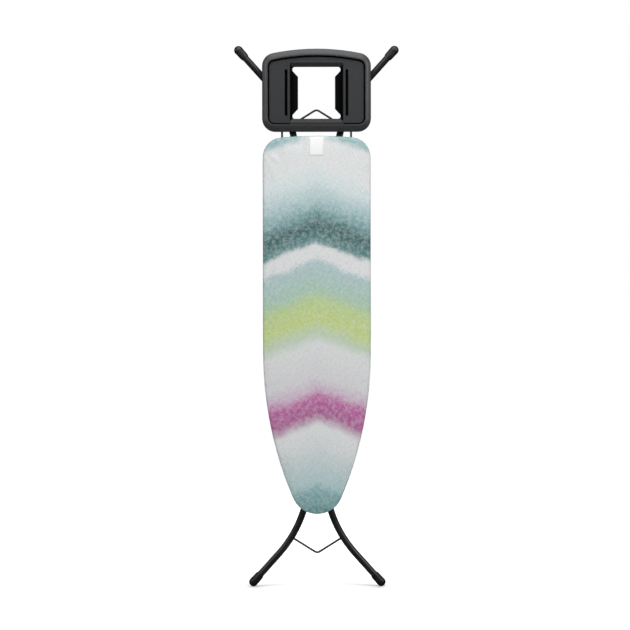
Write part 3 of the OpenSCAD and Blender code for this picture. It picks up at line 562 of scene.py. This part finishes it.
class BoardStageSettings(bpy.types.PropertyGroup):
    camera_distance: FloatProperty(
        name="Camera distance", description="Distance from the board to the camera",
        default=6.0, min=2.0, max=20.0, unit="LENGTH")
    camera_height: FloatProperty(
        name="Camera height", description="Height of the camera over the floor",
        default=0.797, min=0.1, max=2.0, unit="LENGTH")
    camera_roll: FloatProperty(
        name="Camera roll", description="Roll of the camera, in degrees",
        default=-0.1, min=-2.0, max=2.0)
    view_width: FloatProperty(
        name="View width", description="Width of the view at the board",
        default=1.846, min=0.5, max=4.0, unit="LENGTH")
    key_power: FloatProperty(
        name="Key lamp", description="Power of the high lamp in front",
        default=8.0, min=0.0, max=1000.0, unit="POWER")
    top_power: FloatProperty(
        name="Top lamp", description="Power of the wide lamp overhead",
        default=64.0, min=0.0, max=500.0, unit="POWER")
    side_power: FloatProperty(
        name="Side lamps", description="Power of the lamp at the right",
        default=52.0, min=0.0, max=500.0, unit="POWER")
    back_power: FloatProperty(
        name="Back lamp", description="Power of the lamp behind, for the back of the board",
        default=30.0, min=0.0, max=500.0, unit="POWER")
    near_power: FloatProperty(
        name="Near lamp", description="Power of the strip lamp close to the iron rest",
        default=3.0, min=0.0, max=500.0, unit="POWER")


# ---------------------------------------------------------------- operators

class BOARD_OT_cover(bpy.types.Operator):
    """Builds the padded cotton cover with its rounded edge and gathered hem."""
    bl_idname = "board.cover"
    bl_label = "Cover"

    def execute(self, context):
        settings = context.scene.board_cover
        edge = Outline()
        # A closed box a little smaller than the cover, with a rounded front edge
        smaller, rear_radius, held_depth, pressure = 0.0006, 0.003, 0.006, 4.0
        back = SKIRT_HIGH.y - smaller
        room = settings.swell * 0.5
        shape = table_face()
        shrink(shape, smaller)
        bmesh.ops.translate(shape, vec=(0, room, 0), verts=shape.verts)
        grown = bmesh.ops.extrude_face_region(shape, geom=shape.faces[:])["geom"]
        bmesh.ops.translate(shape, vec=(0, back - COVER_LOW.y - room, 0), verts=points(grown))
        bmesh.ops.recalc_face_normals(shape, faces=shape.faces)
        front = [e for e in shape.edges if max(v.co.y for v in e.verts) < COVER_LOW.y + 0.004]
        round_off(shape, front, settings.edge_radius, 5)
        rear = [e for e in shape.edges if min(v.co.y for v in e.verts) > back - 1e-4]
        round_off(shape, rear, rear_radius, 2)
        remeshed = self.remesh(mesh_of(shape, "padded_cover"))
        held = [v.index for v in remeshed.vertices if v.co.y > back - held_depth]
        simulate_cloth("cover_trial", remeshed, held, pressure, settings.swell)
        piece = self.hem(remeshed, edge, back, settings)
        cover = finished("padded_cover", piece, printed_cotton(settings), TABLE)
        cover.modifiers.new("cloth_thickness", "SOLIDIFY").thickness = 0.0014
        smooth = cover.modifiers.new("smooth", "SUBSURF")
        smooth.levels = smooth.render_levels = 1
        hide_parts("cover_top", "cover_skirt")
        return {"FINISHED"}

    def remesh(self, mesh):
        """The mesh again, as small even squares that can swell and gather."""
        trial = bpy.data.objects.new("remesh", mesh)
        bpy.context.scene.collection.objects.link(trial)
        even = trial.modifiers.new("even", "REMESH")
        even.mode = "VOXEL"
        even.voxel_size = 0.0055
        graph = bpy.context.evaluated_depsgraph_get()
        result = bpy.data.meshes.new_from_object(trial.evaluated_get(graph))
        bpy.data.objects.remove(trial)
        return result

    def hem(self, mesh, edge, back, settings):
        """Opens the back inside the hem, trims its edge and gathers the cloth."""
        # Gathers wander by up to 0.8 of a pitch. On the cover's side they fade in from 10 to 24 mm behind
        # its front, and lean inward.
        wander, waves_a_metre, seed = 0.8, 30, 3.7
        fade_start, fade_length, side_height, side_inset, lean = 0.010, 0.014, 0.0007, 0.012, 0.6
        shape = bmesh.new()
        shape.from_mesh(mesh)
        centres = [(f, f.calc_center_median()) for f in shape.faces]
        inner = [f for f, spot in centres if spot.y > back - 0.003 and edge(spot)[0] > settings.hem_width]
        bmesh.ops.delete(shape, geom=inner, context="FACES")
        for vertex in shape.verts:
            inset, along, near = edge(vertex.co)
            if vertex.is_boundary and inset > 1e-6:
                toward = (Vector((vertex.co.x, vertex.co.z)) - near).normalized()
                vertex.co.x = near.x + toward.x * settings.hem_width
                vertex.co.z = near.y + toward.y * settings.hem_width
                inset = settings.hem_width
            depth = vertex.co.y - COVER_LOW.y
            wobble = noise.noise(Vector((along * waves_a_metre, seed, 0.0)))
            wave = math.sin(2 * math.pi * (along / settings.gather_pitch + wander * wobble))
            lift = min(1.0, inset / settings.hem_width)
            if depth > back - COVER_LOW.y - 0.004:
                vertex.co.y += settings.gather_depth * 0.5 * lift * (wave - 1.0)
            reach = max(0.0, min(1.0, (depth - fade_start) / fade_length))
            if inset < side_inset and reach > 0:
                outward = Vector((vertex.normal.x, 0, vertex.normal.z))
                vertex.co += outward * side_height * reach * (wave - lean)
        for face in shape.faces:
            face.smooth = True
        return mesh_of(shape, "padded_cover")


class BOARD_OT_pad(bpy.types.Operator):
    """Builds the foam pad with its soft front edge."""
    bl_idname = "board.pad"
    bl_label = "Pad"

    def execute(self, context):
        inside_cover, edge_radius = 0.0065, 0.0050
        shape = table_face()
        shrink(shape, inside_cover)
        bmesh.ops.translate(shape, vec=(0, PAD_LOW.y - COVER_LOW.y, 0), verts=shape.verts)
        grown = bmesh.ops.extrude_face_region(shape, geom=shape.faces[:])["geom"]
        bmesh.ops.translate(shape, vec=(0, PAD_HIGH.y - PAD_LOW.y, 0), verts=points(grown))
        bmesh.ops.recalc_face_normals(shape, faces=shape.faces)
        front = [e for e in shape.edges if max(v.co.y for v in e.verts) < PAD_LOW.y + 1e-4]
        round_off(shape, front, edge_radius, 4)
        pad = finished("foam_pad", mesh_of(shape, "foam_pad"), cut_foam(), TABLE)
        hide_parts("pad")
        return {"FINISHED"}


class BOARD_OT_label(bpy.types.Operator):
    """Lays a bare woven label on the cover, with a stitched border."""
    bl_idname = "board.label"
    bl_label = "Label"

    def execute(self, context):
        settings = context.scene.board_label
        thickness, clear = 0.0006, 0.0007
        cover = bpy.data.objects["padded_cover"]
        surface = BVHTree.FromObject(cover, context.evaluated_depsgraph_get())
        shape = bmesh.new()
        bmesh.ops.create_grid(shape, x_segments=18, y_segments=24, size=0.5)
        top = COVER_HIGH.z - settings.drop
        for vertex in shape.verts:
            x = vertex.co.x * settings.width
            z = top + (vertex.co.y - 0.5) * settings.height
            hit = surface.ray_cast(Vector((x, COVER_LOW.y - 0.1, z)), Vector((0, 1, 0)))[0]
            vertex.co = Vector((x, (hit.y if hit else COVER_LOW.y + 0.004) - clear, z))
        for face in shape.faces:
            face.smooth = True
        bmesh.ops.recalc_face_normals(shape, faces=shape.faces)
        label = finished("label_tab", mesh_of(shape, "label_tab"), woven_label(settings), TABLE)
        label.modifiers.new("ribbon_thickness", "SOLIDIFY").thickness = thickness
        return {"FINISHED"}


class BOARD_OT_rest(bpy.types.Operator):
    """Builds the iron rest's rounded rim and the sloping walls of its well, with painted shade in its
    recesses.
    """
    bl_idname = "board.rest"
    bl_label = "Iron rest"

    def execute(self, context):
        settings = context.scene.board_rest
        plastic = moulded_polypropylene(context.scene.board_finish)
        recess_shade = moulded_polypropylene(context.scene.board_finish, painted_recess_shade)
        rim = finished("rest_rim", self.rim(settings), plastic, TABLE)
        rim.modifiers.new("moulded_wall", "SOLIDIFY").thickness = settings.wall
        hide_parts("rest_frame")
        finished("rest_bosses", self.bosses(settings), plastic, TABLE)
        walls = finished("well_walls", self.well(settings), plastic, TABLE)
        walls.data.materials.append(recess_shade)
        # The well's side walls take the material with painted shade; its top and bottom walls stay plain.
        for polygon in walls.data.polygons:
            polygon.material_index = 1 if abs(polygon.normal.x) > 0.5 else 0
        walls.modifiers.new("moulded_wall", "SOLIDIFY").thickness = 0.001
        # The panel takes painted shade too, wherever it lies behind its face.
        dress(("rest_panel",), recess_shade)
        return {"FINISHED"}

    def rim(self, settings):
        """A hollow rim whose face falls away from its crest, beside the groove, to its outer edge."""
        # The lip at the groove is the inner 15 % of the face, and 0.8 mm deep.
        cuts, curve, lip_start, lip_width, lip_depth = 11, 1.6, 0.85, 0.15, 0.0008
        shape, loops = section("rest_frame", REST_HIGH.y - 0.002)
        bmesh.ops.delete(shape, geom=[v for loop in loops[2:] for v in loop], context="VERTS")
        # The inner loop lies one unit away while the face is divided: a point's depth follows from its share.
        outer = set(loops[0])
        for vertex in shape.verts:
            vertex.co.y = 0.0 if vertex in outer else 1.0
        bmesh.ops.bridge_loops(shape, edges=shape.edges[:])
        spokes = [e for e in shape.edges if abs(e.verts[0].co.y - e.verts[1].co.y) > 0.5]
        bmesh.ops.subdivide_edges(shape, edges=spokes, cuts=cuts)
        for vertex in shape.verts:
            share = vertex.co.y
            lip = max(0.0, share - lip_start) / lip_width
            vertex.co.y = REST_LOW.y + settings.rim_drop * (1 - share) ** curve + lip_depth * lip * lip
        made = bmesh.ops.extrude_edge_only(shape, edges=[e for e in shape.edges if e.is_boundary])["geom"]
        for vertex in points(made):
            vertex.co.y = REST_HIGH.y
        bmesh.ops.recalc_face_normals(shape, faces=shape.faces)
        if min(shape.faces, key=lambda f: f.calc_center_median().y).normal.y > 0:
            bmesh.ops.reverse_faces(shape, faces=shape.faces)
        mesh = mesh_of(shape, "rest_rim")
        mesh.shade_smooth()
        mesh.set_sharp_from_angle(angle=math.radians(40))
        return mesh

    def bosses(self, settings):
        """Four solid seats for the rods' clips, inside the hollow rim and flush with its back."""
        shape = bmesh.new()
        size, from_end, lower = (0.020, 0.012, 0.015), 0.010, 0.008
        for side in (-1, 1):
            for rise in (REST_LOW.z + from_end, REST_HIGH.z - from_end - lower):
                place = (side * settings.clip_reach, REST_HIGH.y - size[1] / 2, rise)
                boss = bmesh.ops.create_cube(shape, size=1.0)["verts"]
                bmesh.ops.scale(shape, vec=size, verts=boss)
                bmesh.ops.translate(shape, vec=place, verts=boss)
        return mesh_of(shape, "rest_bosses")

    def well(self, settings):
        """Four walls that slope from the well's mouth to the window."""
        mouth = REST_FACE - 0.0012
        floor = REST_HIGH.y - 0.0026
        corner, margin = 0.008, 0.0004
        shape = bmesh.new()
        bmesh.ops.create_grid(shape, x_segments=1, y_segments=1, size=0.5)
        bmesh.ops.scale(shape, vec=(settings.well_width, settings.well_height, 1), verts=shape.verts)
        bmesh.ops.bevel(shape, geom=shape.verts, offset=corner, offset_type="OFFSET", affect="VERTICES",
                        segments=5, profile=0.5, material=-1)
        bmesh.ops.inset_region(shape, faces=shape.faces[:], thickness=margin, use_boundary=True)
        bmesh.ops.delete(shape, geom=[f for f in shape.faces if len(f.verts) == 4], context="FACES")
        low = points(bmesh.ops.extrude_face_region(shape, geom=shape.faces[:])["geom"])
        bmesh.ops.scale(shape, vec=(settings.floor_width / settings.well_width,
                                    settings.floor_height / settings.well_height, 1), verts=low)
        bmesh.ops.translate(shape, vec=(0, 0, floor - mouth), verts=low)
        caps = [f for f in shape.faces if len(f.verts) > 4]
        bmesh.ops.delete(shape, geom=caps, context="FACES")
        for vertex in shape.verts:
            x, y, z = vertex.co
            vertex.co = Vector((x, mouth + z, y + REST_LOW.z + settings.window_rise))
        bmesh.ops.recalc_face_normals(shape, faces=shape.faces)
        if shape.faces[:][0].normal.y > 0:
            bmesh.ops.reverse_faces(shape, faces=shape.faces)
        return mesh_of(shape, "well_walls")


class BOARD_OT_steel(bpy.types.Operator):
    """Finishes the tubes, wires, bars, rails and rim in black powder coat."""
    bl_idname = "board.steel"
    bl_label = "Coated steel"

    def execute(self, context):
        dress(BLACK_STEEL_NODES, powder_coat(context.scene.board_finish))
        return {"FINISHED"}


class BOARD_OT_mouldings(bpy.types.Operator):
    """Finishes the foot caps, the grip and the clips in moulded plastic."""
    bl_idname = "board.mouldings"
    bl_label = "Mouldings"

    def execute(self, context):
        dress(MOULDED_NODES, moulded_polypropylene(context.scene.board_finish))
        dress(FOOT_CAP_NODES, moulded_polyethylene(context.scene.board_finish))
        dress(NYLON_NODES, moulded_nylon())
        return {"FINISHED"}


class BOARD_OT_fittings(bpy.types.Operator):
    """Finishes the axles, bolts, rack, rod, spring and rivets in zinc."""
    bl_idname = "board.fittings"
    bl_label = "Zinc fittings"

    def execute(self, context):
        dress(ZINC_NODES, zinc_plated_steel())
        return {"FINISHED"}


class BOARD_OT_stage(bpy.types.Operator):
    """Sets the floor, the soft lamps and the camera."""
    bl_idname = "board.stage"
    bl_label = "Stage"

    def execute(self, context):
        settings = context.scene.board_stage
        scene = context.scene
        shape = bmesh.new()
        bmesh.ops.create_grid(shape, x_segments=1, y_segments=1, size=60.0)
        floor = bpy.data.objects.new("floor", mesh_of(shape, "floor"))
        scene.collection.objects.link(floor)
        floor.data.materials.append(self.floor_paint())
        self.world(scene)
        # The left lamp has 0.7 of the right one's power.
        for name, place, height, size, power in (
                ("overhead_lamp", (0.0, -0.9, 3.6), 1.0, (2.6, 2.0), settings.top_power),
                ("right_lamp", (2.4, -2.0, 2.2), 1.1, (1.6, 1.6), settings.side_power),
                ("left_lamp", (-2.4, -2.0, 2.2), 1.1, (1.6, 1.6), settings.side_power * 0.7),
                ("key_lamp", (0.2, -3.2, 4.6), 0.7, (2.4, 1.6), settings.key_power),
                ("near_lamp", (0.1, -1.2, 2.1), 1.4, (1.3, 0.5), settings.near_power),
                ("back_lamp", (0.3, 2.8, 2.2), 0.9, (2.0, 1.6), settings.back_power)):
            self.lamp(name, place, (0, 0, height), size, power)
        lens = bpy.data.cameras.new("camera")
        lens.sensor_width = 36.0
        lens.lens = lens.sensor_width * settings.camera_distance / settings.view_width
        camera = bpy.data.objects.new("camera", lens)
        scene.collection.objects.link(camera)
        camera.location = (-0.0055, -settings.camera_distance, settings.camera_height)
        camera.rotation_euler = (math.pi / 2, -math.radians(settings.camera_roll), 0)
        scene.camera = camera
        scene.view_settings.view_transform = "Standard"
        return {"FINISHED"}

    def floor_paint(self):
        """Matt white studio floor that glows to the camera: it takes the lamps' soft shadows and a painted
        shadow beside each foot, and looks plain white elsewhere.
        """
        material, tree, body, place = new_material("matt_studio_floor", linear("#f2f2f2"), 0.9)
        seen = add(tree, "ShaderNodeLightPath")
        grain = add(tree, "ShaderNodeTexNoise", inputs={"Vector": place, "Scale": 3.0, "Detail": 2.0})
        tone = add(tree, "ShaderNodeValToRGB", inputs={0: grain.outputs[0]},
                   stops=[(0.0, "#f2f2f2"), (1.0, "#f5f5f5")])
        # Reflections see the floor dark grey, so that black edges stay black.
        mirrored = add(tree, "ShaderNodeMix", {"data_type": "RGBA"}, {
            0: seen.outputs["Is Glossy Ray"], 6: tone.outputs[0], 7: linear("#2c2c2c")})
        tree.links.new(mirrored.outputs[2], body.inputs["Base Color"])
        body.inputs["Emission Color"].default_value = (1, 1, 1, 1)
        # The camera-only glow makes up for the lamps' fall-off. It is weak beside each foot, which paints
        # shadow there on top of the lamps' own, and full 10 m away.
        full_glow = 10.0
        low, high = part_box("inner_cap_right")
        axes = add(tree, "ShaderNodeSeparateXYZ", inputs={0: place})
        side = add(tree, "ShaderNodeMath", {"operation": "ABSOLUTE"}, {0: axes.outputs["X"]})
        beside = add(tree, "ShaderNodeMath", {"operation": "SUBTRACT"},
                     {0: side.outputs[0], 1: (low.x + high.x) / 2})
        level = add(tree, "ShaderNodeCombineXYZ", inputs={0: beside.outputs[0], 1: axes.outputs["Y"]})
        reach = add(tree, "ShaderNodeVectorMath", {"operation": "LENGTH"}, {0: level.outputs[0]})
        share = add(tree, "ShaderNodeMath", {"operation": "DIVIDE"}, {0: reach.outputs["Value"], 1: full_glow})
        rise = add(tree, "ShaderNodeValToRGB", inputs={0: share.outputs[0]}, stops=[
            (0.0, 0.10), (0.006, 0.30), (0.015, 0.50), (0.04, 0.60),
            (0.14, 0.72), (0.28, 0.84), (0.60, 0.95), (1.0, 1.0)])
        glow = add(tree, "ShaderNodeMath", {"operation": "MULTIPLY"},
                   {0: seen.outputs["Is Camera Ray"], 1: rise.outputs[0]})
        tree.links.new(glow.outputs[0], body.inputs["Emission Strength"])
        return material

    def world(self, scene):
        """A white studio to the camera, and a dim one to the board."""
        world = bpy.data.worlds.new("studio")
        scene.world = world
        world.use_nodes = True
        tree = world.node_tree
        tree.nodes.clear()
        path = add(tree, "ShaderNodeLightPath")
        direct = add(tree, "ShaderNodeMath", {"operation": "MAXIMUM"},
                     {0: path.outputs["Is Camera Ray"], 1: path.outputs["Is Transmission Ray"]})
        # Reflections see a dark studio, so that black edges stay black.
        dim = add(tree, "ShaderNodeMapRange", inputs={0: path.outputs["Is Glossy Ray"], 3: 0.06, 4: 0.01})
        light = add(tree, "ShaderNodeBackground", inputs={"Color": (1, 1, 1, 1), "Strength": dim.outputs[0]})
        white = add(tree, "ShaderNodeBackground", inputs={"Color": (1, 1, 1, 1), "Strength": 1.0})
        mix = add(tree, "ShaderNodeMixShader",
                  inputs={0: direct.outputs[0], 1: light.outputs[0], 2: white.outputs[0]})
        add(tree, "ShaderNodeOutputWorld", inputs={"Surface": mix.outputs[0]})

    def lamp(self, name, place, aim, size, power):
        """A soft box at a place, turned to its aim."""
        light = bpy.data.lights.new(name, "AREA")
        light.shape = "RECTANGLE"
        light.size, light.size_y = size
        light.energy = power
        lamp = bpy.data.objects.new(name, light)
        bpy.context.scene.collection.objects.link(lamp)
        lamp.location = place
        lamp.rotation_euler = (Vector(aim) - Vector(place)).to_track_quat("-Z", "Y").to_euler()


class BOARD_PT_panel(bpy.types.Panel):
    """Lists the pieces of the ironing board and their settings."""
    bl_idname = "BOARD_PT_panel"
    bl_label = "Ironing board"
    bl_space_type = "VIEW_3D"
    bl_region_type = "UI"
    bl_category = "Ironing board"

    def draw(self, context):
        column = self.layout.column()
        for operator in OPERATORS:
            column.operator(operator.bl_idname)
        for name, group in SETTINGS.items():
            box = self.layout.box()
            for prop in group.__annotations__:
                box.prop(getattr(context.scene, name), prop)


SETTINGS = {
    "board_cover": BoardCoverSettings,
    "board_label": BoardLabelSettings,
    "board_rest": BoardRestSettings,
    "board_finish": BoardFinishSettings,
    "board_stage": BoardStageSettings,
}
OPERATORS = (
    BOARD_OT_cover, BOARD_OT_pad, BOARD_OT_label, BOARD_OT_rest, BOARD_OT_steel, BOARD_OT_mouldings,
    BOARD_OT_fittings, BOARD_OT_stage,
)


def register():
    for group in (*SETTINGS.values(), *OPERATORS, BOARD_PT_panel):
        bpy.utils.register_class(group)
    for name, group in SETTINGS.items():
        setattr(bpy.types.Scene, name, PointerProperty(type=group))


def unregister():
    for name in SETTINGS:
        delattr(bpy.types.Scene, name)
    for group in (BOARD_PT_panel, *reversed(OPERATORS), *SETTINGS.values()):
        bpy.utils.unregister_class(group)


def main():
    register()
    for operator in OPERATORS:
        area, name = operator.bl_idname.split(".")
        getattr(getattr(bpy.ops, area), name)()


if __name__ == "__main__":
    main()
